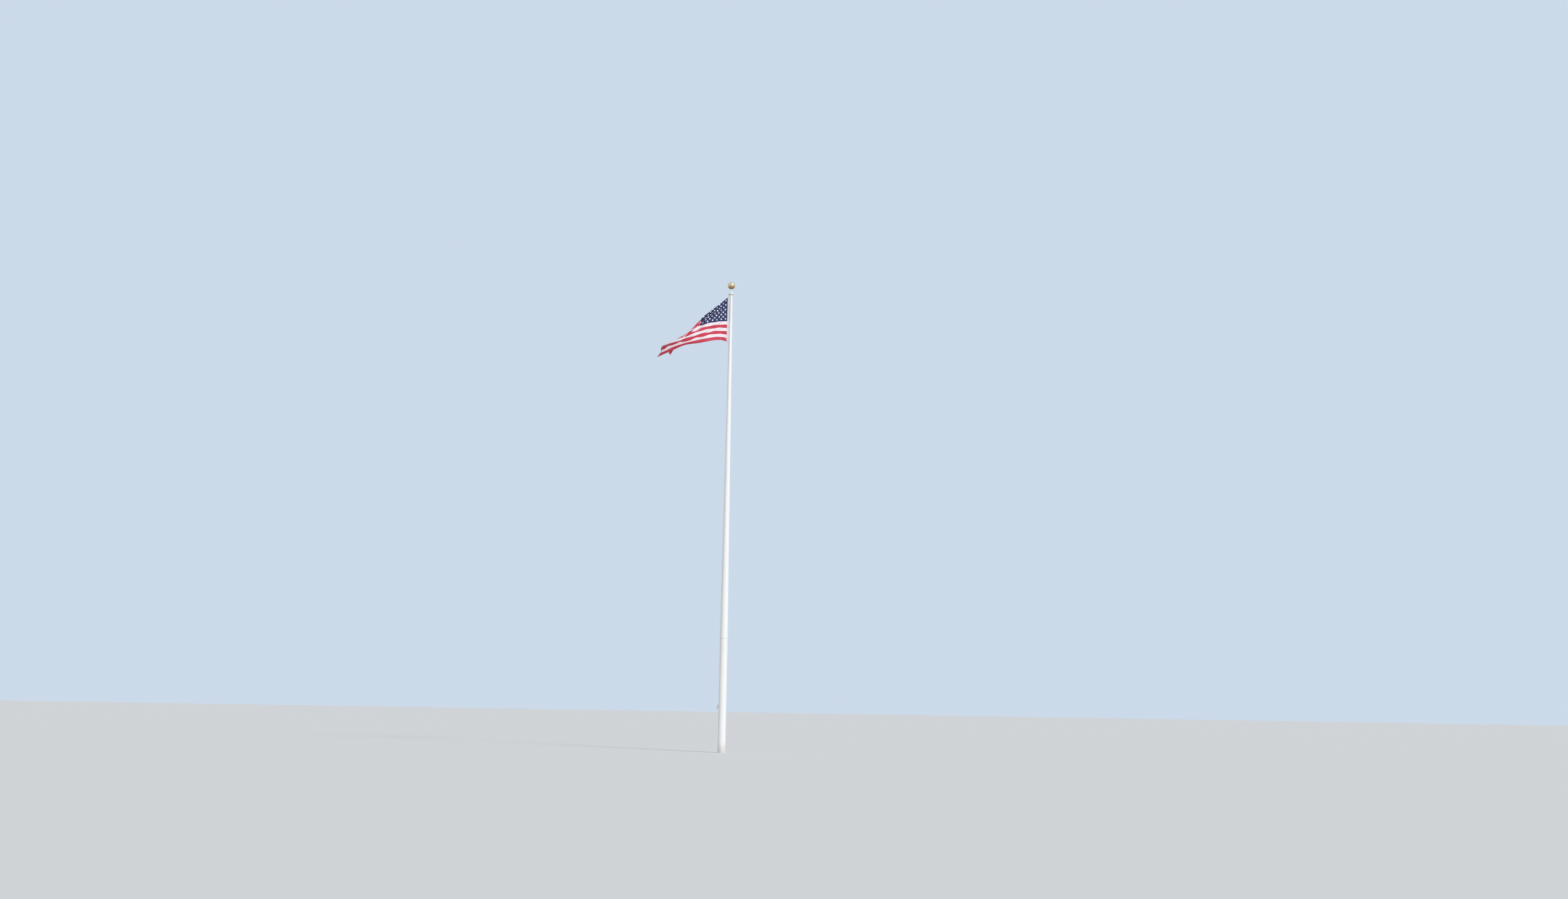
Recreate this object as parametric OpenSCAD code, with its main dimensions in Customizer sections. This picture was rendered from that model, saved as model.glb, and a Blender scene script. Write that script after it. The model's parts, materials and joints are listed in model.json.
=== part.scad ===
// Tapered tubular flagpole: a cap truck with one sheave, a gilt ball on a spindle, a halyard
// belayed on a horn cleat, and a flag on two snap hooks that flies towards -X.
// Millimetres, +Z up. The origin is the middle of the tube's foot, at ground level.

/* [Pole] */
// Height of the tube above the ground
pole_height = 18290; // [14000:10:23000]
// Outside diameter of the straight lower section
butt_diameter = 304.8; // [240:0.1:380]
// Height of the straight lower section, where the taper starts
butt_height = 4420; // [3500:10:6000]
// Outside diameter at the tip
tip_diameter = 108; // [100:0.5:124]
// Length of the straight stretch at the tip, which the truck's screws go through
tip_straight = 150; // [140:1:250]
// Wall thickness of both sections
pole_wall = 6.35; // [4:0.05:10]
// Chamfer on the two ends that meet at the joint
joint_chamfer = 2.5; // [1:0.1:3]
// Length of the sleeve inside the joint
sleeve_length = 900; // [500:10:1400]
// Wall thickness of the sleeve
sleeve_wall = 8; // [5:0.5:12]

/* [Truck] */
// Wall thickness of the spigot inside the tip
spigot_wall = 10; // [7:0.5:14]
// Depth of the spigot in the tip
spigot_depth = 95; // [75:1:130]
// Thickness of the plate that rests on the tip, and of its arm over the sheave
cap_plate = 10; // [8:0.5:14]
// Diameter of the hood's brim
hood_diameter = 220; // [212:1:260]
// Height of the brim's lower edge above the tip
brim_height = 12; // [10:1:24]
// Height of the brim's upright rim
rim_height = 22; // [16:1:28]
// Height of the hood, brim to apex
hood_height = 130; // [100:1:170]
// Thickness of the hood's sheet
hood_wall = 4; // [3:0.5:6]
// Diameter of the spindle that carries the ball
spindle_diameter = 25; // [20:0.5:30]
// Diameter of the boss round the spindle
boss_diameter = 46; // [38:1:54]

/* [Ball] */
// Diameter of the ball
ball_diameter = 304.8; // [250:0.1:360]
// Thickness of the ball's sheet
ball_wall = 2; // [1.5:0.1:4]
// Gap between the hood's apex and the ball's lowest point
ball_gap = 92; // [60:1:120]

/* [Sheave] */
// Distance of the sheave's middle from the pole's axis
sheave_offset = 76; // [74:0.5:84]
// Distance of the sheave's middle below the tip
sheave_drop = 34; // [34:0.5:44]
// Radius at which the rope's middle runs round the sheave
sheave_rope_radius = 24; // [23:0.5:26]
// Width of the sheave
sheave_width = 18; // [16:0.5:20]
// Depth of the sheave's flanges past the rope's middle
sheave_flange = 4; // [3:0.5:5]
// Diameter of the pin that the sheave turns on
sheave_pin_diameter = 12; // [10:0.5:14]
// Thickness of each cheek of the fork
cheek = 6; // [5:0.5:8]

/* [Halyard] */
// Diameter of the rope
rope_diameter = 9.5; // [6:0.5:12]
// Distance of the belayed rope from the butt's surface, at the cleat
cleat_stand = 46.6; // [42.6:0.1:62.6]
// Height of the cleat's middle above the ground
cleat_height = 1750; // [1200:10:2200]
// Length of the cleat from horn tip to horn tip
cleat_length = 229; // [200:1:260]
// Half the height of the rope's figure of eight
hitch_reach = 58; // [50:1:64]
// Number of figures of eight round the cleat
hitch_turns = 3; // [2:1:3]

/* [Flag] */
// Length of the flag along the halyard
flag_hoist = 1829; // [1500:1:2200]
// Length of the flag from heading to fly, when it is laid flat
flag_fly = 3475; // [2800:1:4200]
// Width of the canvas heading
heading_width = 50; // [46:1:60]
// Thickness of the canvas heading
heading_thickness = 3; // [2:0.5:4]
// Thickness of the cloth's solid
cloth_thickness = 4; // [3:0.5:8]
// Distance of a grommet's middle from the heading's end
grommet_from_end = 25; // [22:1:30]
// Distance of a grommet's middle from the heading's hoist edge
grommet_from_edge = 20; // [18:1:24]
// Radius of a grommet's hole
grommet_hole = 6.5; // [6:0.1:8]
// Radius of a snap hook's wire
snap_wire = 3; // [2.5:0.1:3.5]
// Distance of the heading's top below the tip
flag_drop = 110; // [110:1:300]

/* [Hidden] */
$fn = 64;

butt_r = butt_diameter / 2;
tip_r = tip_diameter / 2;
// Distance of the belayed rope from the pole's axis
cleat_reach = butt_r + cleat_stand;
taper_top = pole_height - tip_straight;
// Radius of the tapered section at a height above the ground
function pole_r(z) = butt_r - (butt_r - tip_r) * max(0, z - butt_height) / (taper_top - butt_height);

// Truck heights, from the tip up
seat_gap = 0.2;
spigot_r = tip_r - pole_wall - seat_gap;
plate_r = tip_r + 4;
plate_top = pole_height + cap_plate;
hood_r = hood_diameter / 2;
brim_z = pole_height + brim_height;
apex_z = brim_z + hood_height;
boss_r = boss_diameter / 2;
spindle_r = spindle_diameter / 2;
rim_ledge = 4;
locknut_height = 18;
locknut_width = 38;
ball_r = ball_diameter / 2;
ball_z = apex_z + ball_gap + ball_r;
seat_r = 30;
seat_foot_z = ball_z - ball_r - 28;
seat_top_z = ball_z - sqrt(ball_r * ball_r - seat_r * seat_r);
neck_r = 20;
neck_height = 32;
set_screw_r = 5;
set_screw_sink = 0.5;
set_screw_z = pole_height - spigot_depth / 2;
set_screw_angles = [0, 120, 240];

// Sheave and fork
sheave_z = pole_height - sheave_drop;
rope_r = rope_diameter / 2;
groove_gap = 0.3;
groove_r = rope_r + groove_gap;
sheave_r = sheave_rope_radius + sheave_flange;
pin_r = sheave_pin_diameter / 2;
pin_gap = 0.08;
cheek_gap = 1;
fork_half_width = 20;
fork_inner_x = sheave_offset - sheave_width / 2 - cheek_gap;
fork_outer_x = sheave_offset + sheave_width / 2 + cheek_gap;
pin_head_r = 9;
pin_head = 3;

// The belayed rope's two falls are straight from the sheave's two sides to the cleat
fall_gap = 0.1;
fall_bend = 14;
fall_end_z = cleat_height + cleat_length / 2 + 60;
fall_lean = atan((cleat_reach - sheave_offset) / (sheave_z - fall_end_z));
fall_length = (sheave_z - fall_end_z) / cos(fall_lean);
// Distance of a fall from the YZ plane, at a height above the ground
function fall_x(z) = -sheave_offset - (sheave_z - z) * tan(fall_lean);

// Cleat
horn_r = 11;
horn_tip_r = 7;
horn_lift = 8;
stem_spread = 24;
foot_length = 96;
foot_width = 34;
foot_thickness = 10;
cleat_screw_r = 4;
cleat_screw_spread = 35;
cleat_screw_head_r = 7;
cleat_screw_head = 4;
eight_half_width = 19;
eight_back = 20;
lead_lift = 26;
tail_back = 31;

// Flag, in the frame of the flag fall: origin on the rope at the heading's top, -X towards the fly
heading_gap = 11;
heading_x = -heading_gap - heading_width;
grommet_x = -heading_gap - grommet_from_edge;
grommet_flange = 5.5;
grommet_barrel = 1.5;
grommet_lip = 1;
flag_top_z = pole_height - flag_drop;

// Snap hook: a loop round the heading's edge, a swivel barrel and an eye round the rope
loop_r = 9;
loop_straight = 26;
gate_length = 21;
barrel_length = 11;
barrel_r = 5.5;
eye_r = rope_r + snap_wire + 2.75;
eye_tilt = 25;
hook_lift = grommet_hole - snap_wire - 0.3;
hook_length = 2 * loop_r + loop_straight + barrel_length;
eye_edge_x = eye_r * cos(eye_tilt);
snap_lean = asin((-grommet_x - eye_edge_x) / (hook_length + snap_wire));
eye_z = hook_lift + (hook_length + snap_wire) * cos(snap_lean) + eye_r * sin(eye_tilt);

// Stopper hitches, whipped round the rope: the barrel's foot bears on one, the eye's far side on the other
whip_r = 2;
whip_gap = 0.3;
whip_turns = 4;
whip_pitch = 2 * whip_r + 0.3;
stop_gap = 0.5;
near_stop = eye_r * sin(eye_tilt) + (barrel_length + 2 * snap_wire) * cos(snap_lean) + barrel_r * sin(snap_lean)
    + stop_gap + whip_r;
far_stop = eye_r * sin(eye_tilt) + snap_wire + stop_gap + whip_r;

// Cloth as it flies: lines from the heading to the fly along the top edge, the middle and the bottom edge, with
// points a quarter of the fly apart. X and Y are shares of the flag's fly and Z of its hoist.
top_line = [[0, 0, 0], [-0.18, -0.05, -0.34], [-0.35, -0.1, -0.7], [-0.51, -0.1, -1.05], [-0.64, 0.03, -1.32]];
middle_line = [[0, 0, -0.5], [-0.18, -0.15, -0.62], [-0.4, -0.25, -0.78], [-0.57, -0.21, -1.08], [-0.7, -0.05, -1.24]];
bottom_line = [[0, 0, -1], [-0.13, -0.2, -1.06], [-0.345, -0.285, -1.21], [-0.57, -0.24, -1.36], [-0.797, -0.13, -1.455]];
cloth_columns = 36;
cloth_rows = 30;
// Pleats across the cloth, which deepen towards the fly
pleat_count = 3.5;
pleat_depth = 0.045;

// Points swept along a path with a round section: one ring for each point, square to the path
function unit(v) = v / norm(v);
function path_way(path, i) = unit(path[min(i + 1, len(path) - 1)] - path[max(i - 1, 0)]);
function square_to(v, way) = unit(v - (v * way) * way);
function ring(middle, way, side, r, sides) =
    [for (k = [0 : sides - 1]) middle + r * (cos(360 * k / sides) * side + sin(360 * k / sides) * cross(way, side))];

module sweep_tube(path, r, first_side, sides = 8) {
    last = len(path) - 1;
    // The rings' side is carried along the path, so that they don't twist
    sides_along = [for (i = 0, side = square_to(first_side, path_way(path, 0)); i <= last;
        i = i + 1, side = square_to(side, path_way(path, min(i, last)))) side];
    points = [for (i = [0 : last]) each ring(path[i], path_way(path, i), sides_along[i], r, sides)];
    skin = [for (i = [0 : last - 1], k = [0 : sides - 1])
        let(a = i * sides + k, b = i * sides + (k + 1) % sides)
        each [[a, b + sides, b], [a, a + sides, b + sides]]];
    near_end = [[for (k = [0 : sides - 1]) k]];
    far_end = [[for (k = [0 : sides - 1]) last * sides + sides - 1 - k]];
    polyhedron(points, concat(skin, near_end, far_end), convexity = 6);
}

// Places what follows on the flag fall, with its own Z along the rope
module on_flag_fall(z) {
    translate([fall_x(z), sheave_rope_radius, z]) rotate([0, fall_lean, 0]) children();
}

// Pole

module butt_section() {
    color("white") difference() {
        rotate_extrude() polygon([
            [butt_r - pole_wall, 0],
            [butt_r, 0],
            [butt_r, butt_height - joint_chamfer],
            [butt_r - joint_chamfer, butt_height],
            [butt_r - pole_wall, butt_height]
        ]);
        cleat_screw_holes();
    }
}

module taper_section() {
    color("white") difference() {
        rotate_extrude() polygon([
            [butt_r - pole_wall, butt_height],
            [butt_r - joint_chamfer, butt_height],
            [pole_r(butt_height + joint_chamfer), butt_height + joint_chamfer],
            [tip_r, taper_top],
            [tip_r, pole_height],
            [tip_r - pole_wall, pole_height],
            [tip_r - pole_wall, taper_top]
        ]);
        set_screw_bores(spigot_r - 1, tip_r + pole_wall);
    }
}

module joint_sleeve() {
    half = sleeve_length / 2;
    fit = pole_wall + seat_gap;
    color("silver") rotate_extrude() polygon([
        [butt_r - fit - sleeve_wall, butt_height - half],
        [butt_r - fit, butt_height - half],
        [butt_r - fit, butt_height],
        [pole_r(butt_height + half) - fit, butt_height + half],
        [pole_r(butt_height + half) - fit - sleeve_wall, butt_height + half],
        [butt_r - fit - sleeve_wall, butt_height]
    ]);
}

// Truck

module set_screw_bores(from_r, to_r) {
    for (angle = set_screw_angles)
        rotate([0, 0, angle]) translate([from_r, 0, set_screw_z]) rotate([0, 90, 0])
            cylinder(r = set_screw_r, h = to_r - from_r);
}

module fork_cheek(x) {
    translate([-x - cheek, 0, sheave_z]) rotate([90, 0, 90]) linear_extrude(cheek) {
        circle(r = fork_half_width);
        translate([-fork_half_width, 0]) square([2 * fork_half_width, sheave_drop + cap_plate]);
    }
}

module truck_body() {
    spigot_inner_r = spigot_r - spigot_wall;
    color("white") difference() {
        union() {
            rotate_extrude() polygon([
                [spigot_inner_r, pole_height - spigot_depth],
                [spigot_r - 2, pole_height - spigot_depth],
                [spigot_r, pole_height - spigot_depth + 4],
                [spigot_r, pole_height],
                [plate_r, pole_height],
                [plate_r, plate_top - 2],
                [plate_r - 2, plate_top],
                [boss_r + 8, plate_top],
                [boss_r, plate_top + 8],
                [boss_r, apex_z - hood_wall],
                [spindle_r, apex_z - hood_wall],
                [spindle_r, pole_height],
                [spigot_inner_r, pole_height]
            ]);
            fork_cheek(fork_inner_x - cheek);
            fork_cheek(fork_outer_x);
            translate([-fork_outer_x - cheek, -fork_half_width, pole_height])
                cube([fork_outer_x + cheek - boss_r, 2 * fork_half_width, cap_plate]);
        }
        set_screw_bores(spigot_inner_r - 2, tip_r);
        translate([-fork_outer_x - 2 * cheek, 0, sheave_z]) rotate([0, 90, 0])
            cylinder(r = pin_r, h = fork_outer_x + 4 * cheek - fork_inner_x);
    }
}

module truck_set_screws() {
    color("gray") set_screw_bores(spigot_r - spigot_wall + 1, tip_r - set_screw_sink);
}

module truck_hood() {
    ledge_r = hood_r - rim_ledge;
    steps = 10;
    throat_r = boss_r + 4;
    rise = hood_height - rim_height - 6;
    // The crown sweeps in from the rim to the apex, a little hollow
    function crown(k) = let(t = k / steps)
        [throat_r + (ledge_r - throat_r) * pow(1 - t, 1.3), brim_z + rim_height + rise * t];
    sheet = hood_wall * [0.8, 0.65];
    color("white") rotate_extrude() polygon(concat(
        [[hood_r - hood_wall, brim_z], [hood_r, brim_z], [hood_r, brim_z + rim_height - 4], [hood_r - 1, brim_z + rim_height - 1]],
        [for (k = [0 : steps]) crown(k)],
        [[throat_r - 4, apex_z], [spindle_r, apex_z], [spindle_r, apex_z - hood_wall], [boss_r, apex_z - hood_wall]],
        [for (k = [steps : -1 : 0]) crown(k) - sheet],
        [[hood_r - hood_wall, brim_z + rim_height - 5]]
    ));
}

module hood_locknut() {
    color("silver") difference() {
        translate([0, 0, apex_z]) cylinder(d = locknut_width / cos(30), h = locknut_height, $fn = 6);
        translate([0, 0, apex_z - 1]) cylinder(r = spindle_r, h = locknut_height + 2);
    }
}

// Ball

module ball_spindle() {
    color("silver") translate([0, 0, pole_height])
        cylinder(r = spindle_r, h = ball_z - ball_r + neck_height - pole_height);
}

module ball_seat() {
    color("white") rotate_extrude() difference() {
        polygon([
            [spindle_r, seat_foot_z], [seat_r - 7, seat_foot_z], [seat_r - 5, seat_foot_z + 2],
            [seat_r - 3, seat_foot_z + 12], [seat_r, seat_foot_z + 20], [seat_r, seat_top_z], [spindle_r, seat_top_z]
        ]);
        translate([0, ball_z]) circle(r = ball_r, $fn = 360);
    }
}

module ball() {
    inner_r = ball_r - ball_wall;
    start = asin(spindle_r / ball_r);
    steps = 60;
    neck_z = ball_z - ball_r;
    function arc(r, angle) = [r * sin(angle), ball_z - r * cos(angle)];
    inner_start = asin(neck_r / inner_r);
    color("goldenrod") rotate_extrude() polygon(concat(
        [for (k = [0 : steps]) arc(ball_r, start + (180 - start) * k / steps)],
        [for (k = [steps : -1 : 0]) arc(inner_r, inner_start + (180 - inner_start) * k / steps)],
        [[neck_r, neck_z + neck_height], [spindle_r, neck_z + neck_height]]
    ));
}

// Sheave

module sheave() {
    bore_r = pin_r + pin_gap;
    half = sheave_width / 2;
    hub_r = bore_r + 5;
    rim_inner_r = sheave_r - 11;
    // Width of each sloping side of the recess, as far as hub and rim leave room
    slope = min(2, (rim_inner_r - hub_r) / 2 - 0.5);
    color("silver") translate([-sheave_offset, 0, sheave_z]) rotate([0, 90, 0]) rotate_extrude() difference() {
        polygon([
            [bore_r, -half], [hub_r, -half], [hub_r + slope, -half + 2.5], [rim_inner_r - slope, -half + 2.5],
            [rim_inner_r, -half], [sheave_r - 0.8, -half], [sheave_r, -half + 0.8],
            [sheave_r, half - 0.8], [sheave_r - 0.8, half], [rim_inner_r, half],
            [rim_inner_r - slope, half - 2.5], [hub_r + slope, half - 2.5], [hub_r, half], [bore_r, half]
        ]);
        translate([sheave_rope_radius, 0]) circle(r = groove_r);
        polygon([
            [sheave_rope_radius, -groove_r], [sheave_r + 1, -half + 2],
            [sheave_r + 1, half - 2], [sheave_rope_radius, groove_r]
        ]);
    }
}

module sheave_pin() {
    color("gray") translate([-fork_outer_x - cheek - pin_head, 0, sheave_z]) rotate([0, 90, 0]) {
        cylinder(r = pin_head_r, h = pin_head);
        cylinder(r = pin_r, h = pin_head + fork_outer_x + 2 * cheek - fork_inner_x);
    }
}

// Halyard

module halyard_over_sheave() {
    color("wheat") translate([-sheave_offset, 0, sheave_z]) rotate([90, 0, 90])
        rotate_extrude(angle = 180) translate([sheave_rope_radius, 0]) circle(r = rope_r);
}

module halyard_fall(side) {
    color("wheat") translate([-sheave_offset, side * sheave_rope_radius, sheave_z]) rotate([0, fall_lean, 0])
        translate([0, 0, -fall_length]) cylinder(r = rope_r, h = fall_length - fall_gap);
}

module halyard_flag_fall() {
    halyard_fall(1);
}

module halyard_return_fall() {
    halyard_fall(-1);
}

// Figures of eight round the horns: behind a horn at each end, across the front of the stem between
function eight_point(turn) =
    let(height = (hitch_reach - turn * (rope_diameter + 0.2)) * cos(360 * turn), front = pow(sin(360 * turn), 2))
    [
        -cleat_reach + (1 - front) * eight_back - front * (horn_r + rope_r + 1.5 + rope_diameter * 2 * turn),
        -eight_half_width * sin(720 * turn),
        cleat_height + height
    ];

module halyard_on_cleat() {
    guide_z = cleat_height + hitch_reach + lead_lift;
    guide_y = eight_half_width + 8;
    lead_end = [-cleat_reach + eight_back - 6, guide_y, guide_z];
    tail_start = [-cleat_reach + tail_back, -guide_y, guide_z];
    // Both ends go on in line with the falls before they bend towards the cleat
    fall_way = [-sin(fall_lean), 0, -cos(fall_lean)];
    function below_fall(side, drop) = [-cleat_reach, side * sheave_rope_radius, fall_end_z] + drop * fall_way;
    lead_bend = below_fall(1, fall_bend);
    tail_bend = below_fall(-1, fall_bend);
    lead = concat([below_fall(1, fall_gap)], [for (k = [0 : 3]) lead_bend * (1 - k / 3) + lead_end * k / 3]);
    steps = 20 * hitch_turns;
    eights = [for (k = [1 : steps - 1]) eight_point(k / 20)];
    tail = concat([for (k = [0 : 3]) tail_start * (1 - k / 3) + tail_bend * k / 3], [below_fall(-1, fall_gap)]);
    color("wheat") sweep_tube(concat(lead, eights, tail), rope_r - 0.05, [0, 1, 0]);
}

// Cleat

module cleat_screw_holes() {
    for (side = [-1, 1])
        translate([-cleat_reach, 0, cleat_height + side * cleat_screw_spread]) rotate([0, 90, 0])
            cylinder(r = cleat_screw_r, h = cleat_reach - butt_r + pole_wall + 10);
}

module cleat() {
    stem_x = -cleat_reach;
    color("silver") difference() {
        union() {
            translate([-butt_r - foot_thickness, 0, cleat_height]) rotate([0, 90, 0]) linear_extrude(2 * foot_thickness)
                hull_outline(foot_length, foot_width);
            for (side = [-1, 1])
                hull() {
                    translate([-butt_r - foot_thickness + 1, 0, cleat_height + side * stem_spread / 2])
                        rotate([0, 90, 0]) cylinder(r = 9, h = 2, $fn = 24);
                    translate([stem_x, 0, cleat_height + side * stem_spread / 2]) sphere(r = horn_r - 2, $fn = 20);
                }
            for (side = [-1, 1])
                hull() {
                    translate([stem_x, 0, cleat_height]) sphere(r = horn_r, $fn = 20);
                    translate([stem_x - horn_lift, 0, cleat_height + side * (cleat_length / 2 - horn_tip_r)])
                        sphere(r = horn_tip_r, $fn = 20);
                }
        }
        translate([0, 0, cleat_height - foot_length]) cylinder(r = butt_r, h = 2 * foot_length, $fn = 128);
        cleat_screw_holes();
    }
}

// A strip with two round ends, along X
module hull_outline(length, width) {
    square([length - width, width], center = true);
    for (side = [-1, 1])
        translate([side * (length - width) / 2, 0]) circle(d = width);
}

module cleat_screws() {
    head_x = butt_r + foot_thickness;
    color("gray") for (side = [-1, 1])
        translate([-head_x - cleat_screw_head, 0, cleat_height + side * cleat_screw_spread]) rotate([0, 90, 0]) {
            cylinder(r = cleat_screw_head_r, h = cleat_screw_head);
            cylinder(r = cleat_screw_r, h = cleat_screw_head + foot_thickness + pole_wall);
        }
}

// Hitches and snap hooks

module whipping(z) {
    steps = 14;
    path = [for (k = [0 : steps * whip_turns]) let(angle = 360 * k / steps, r = rope_r + whip_gap + whip_r)
        [r * cos(angle), r * sin(angle), z + whip_pitch * k / steps]];
    sweep_tube(path, whip_r, [0, 0, 1]);
}

module near_hitch() {
    whipping(eye_z - near_stop - whip_pitch * whip_turns);
}

module on_upper_snap() {
    on_flag_fall(flag_top_z) translate([0, 0, -grommet_from_end]) children();
}

module on_lower_snap() {
    on_flag_fall(flag_top_z) translate([0, 0, -flag_hoist + grommet_from_end]) mirror([0, 0, 1]) children();
}

module upper_hitch() {
    color("tan") on_upper_snap() near_hitch();
}

module lower_hitch() {
    color("tan") on_lower_snap() {
        near_hitch();
        whipping(eye_z + far_stop);
    }
}

// The hook's own frame: origin where its wire crosses the grommet, Z towards the eye
module in_hook() {
    translate([grommet_x, 0, hook_lift]) rotate([0, snap_lean, 0]) children();
}

module wire_arc(z, from, to) {
    translate([0, 0, z]) rotate([90, 0, 90]) rotate([0, 0, from]) rotate_extrude(angle = to - from)
        translate([loop_r, 0]) circle(r = snap_wire, $fn = 32);
}

module snap_hook() {
    color("peru") in_hook() {
        wire_arc(loop_r, 180, 360);
        translate([0, -loop_r, loop_r]) cylinder(r = snap_wire, h = loop_straight, $fn = 32);
        translate([0, loop_r, loop_r]) cylinder(r = snap_wire, h = loop_straight - gate_length, $fn = 32);
        wire_arc(loop_r + loop_straight, 0, 180);
        translate([0, 0, 2 * loop_r + loop_straight - snap_wire]) cylinder(r = barrel_r, h = barrel_length, $fn = 32);
    }
}

module snap_gate() {
    color("silver") in_hook() translate([0, loop_r, loop_r + loop_straight - gate_length + 0.2])
        cylinder(r = snap_wire - 0.6, h = gate_length - 0.4, $fn = 32);
}

module snap_eye() {
    color("peru") translate([0, 0, eye_z]) rotate([0, -eye_tilt, 0])
        rotate_extrude() translate([eye_r, 0]) circle(r = snap_wire, $fn = 32);
}

module upper_snap_hook() {
    on_upper_snap() snap_hook();
}

module lower_snap_hook() {
    on_lower_snap() snap_hook();
}

module upper_snap_gate() {
    on_upper_snap() snap_gate();
}

module lower_snap_gate() {
    on_lower_snap() snap_gate();
}

module upper_snap_eye() {
    on_upper_snap() snap_eye();
}

module lower_snap_eye() {
    on_lower_snap() snap_eye();
}

// Flag

module grommet() {
    half = heading_thickness / 2;
    color("gold") translate([grommet_x, 0, 0]) rotate([90, 0, 0]) rotate_extrude() polygon([
        [grommet_hole, -half - grommet_lip], [grommet_hole + grommet_flange, -half - grommet_lip],
        [grommet_hole + grommet_flange, -half], [grommet_hole + grommet_barrel, -half],
        [grommet_hole + grommet_barrel, half], [grommet_hole + grommet_flange, half],
        [grommet_hole + grommet_flange, half + grommet_lip], [grommet_hole, half + grommet_lip]
    ]);
}

module upper_grommet() {
    on_upper_snap() grommet();
}

module lower_grommet() {
    on_lower_snap() grommet();
}

module flag_heading() {
    color("ivory") on_flag_fall(flag_top_z) difference() {
        translate([heading_x, -heading_thickness / 2, -flag_hoist])
            cube([heading_width, heading_thickness, flag_hoist]);
        for (z = [-grommet_from_end, -flag_hoist + grommet_from_end])
            translate([grommet_x, 0, z]) rotate([90, 0, 0])
                cylinder(r = grommet_hole + grommet_barrel, h = 2 * heading_thickness, center = true);
    }
}

// A smooth curve through a line's points, at share s of its length
function line_at(line, s) =
    let(
        last = len(line) - 1,
        i = min(last - 1, floor(s * last)),
        t = s * last - i,
        b = line[i],
        c = line[i + 1],
        a = i == 0 ? 2 * b - c : line[i - 1],
        d = i == last - 1 ? 2 * c - b : line[i + 2],
        share = (2 * b + (c - a) * t + (2 * a - 5 * b + 4 * c - d) * t * t + (3 * b - a - 3 * c + d) * t * t * t) / 2
    )
    [share[0] * flag_fly, share[1] * flag_fly, share[2] * flag_hoist];

// The middle of the flying cloth: s from the heading to the fly, t from the top edge to the bottom one
function cloth_middle(s, t) =
    line_at(top_line, s) * (1 - t) * (1 - 2 * t)
        + line_at(middle_line, s) * 4 * t * (1 - t)
        + line_at(bottom_line, s) * t * (2 * t - 1)
        + [heading_x, flag_hoist * pleat_depth * s * s * sin(360 * pleat_count * t), 0];

// Square to the cloth there. At the heading it is along Y, so that the cloth meets the heading's edge squarely.
function cloth_way(s, t) =
    let(step = 0.004)
    s == 0 ? [0, 1, 0] : unit(cross(
        cloth_middle(s, min(1, t + step)) - cloth_middle(s, max(0, t - step)),
        cloth_middle(min(1, s + step), t) - cloth_middle(s - step, t)
    ));

module flag_cloth() {
    columns = cloth_columns;
    rows = cloth_rows;
    face = (columns + 1) * (rows + 1);
    points = [for (side = [-1, 1], i = [0 : columns], j = [0 : rows])
        let(s = i / columns, t = j / rows)
        cloth_middle(s, t) + side * cloth_thickness / 2 * cloth_way(s, t)];
    function at(side, i, j) = side * face + i * (rows + 1) + j;
    panels = [for (i = [0 : columns - 1], j = [0 : rows - 1]) each [
        [at(0, i, j), at(0, i, j + 1), at(0, i + 1, j + 1)], [at(0, i, j), at(0, i + 1, j + 1), at(0, i + 1, j)],
        [at(1, i, j), at(1, i + 1, j + 1), at(1, i, j + 1)], [at(1, i, j), at(1, i + 1, j), at(1, i + 1, j + 1)]
    ]];
    long_rims = [for (i = [0 : columns - 1]) each [
        [at(0, i, 0), at(0, i + 1, 0), at(1, i + 1, 0)], [at(0, i, 0), at(1, i + 1, 0), at(1, i, 0)],
        [at(0, i, rows), at(1, i + 1, rows), at(0, i + 1, rows)], [at(0, i, rows), at(1, i, rows), at(1, i + 1, rows)]
    ]];
    short_rims = [for (j = [0 : rows - 1]) each [
        [at(0, 0, j), at(1, 0, j + 1), at(0, 0, j + 1)], [at(0, 0, j), at(1, 0, j), at(1, 0, j + 1)],
        [at(0, columns, j), at(0, columns, j + 1), at(1, columns, j + 1)],
        [at(0, columns, j), at(1, columns, j + 1), at(1, columns, j)]
    ]];
    color("firebrick") on_flag_fall(flag_top_z) polyhedron(points, concat(panels, long_rims, short_rims), convexity = 10);
}

butt_section();
taper_section();
joint_sleeve();
truck_body();
truck_set_screws();
truck_hood();
hood_locknut();
ball_spindle();
ball_seat();
ball();
sheave();
sheave_pin();
halyard_over_sheave();
halyard_flag_fall();
halyard_return_fall();
halyard_on_cleat();
cleat();
cleat_screws();
upper_hitch();
lower_hitch();
upper_snap_hook();
upper_snap_gate();
upper_snap_eye();
lower_snap_hook();
lower_snap_gate();
lower_snap_eye();
upper_grommet();
lower_grommet();
flag_heading();
flag_cloth();
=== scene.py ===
"""Flagpole: looks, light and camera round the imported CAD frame."""
import json
from math import atan, ceil, cos, pi, radians, sin, tan

import bpy
import numpy as np
from mathutils import Matrix, Vector


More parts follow.
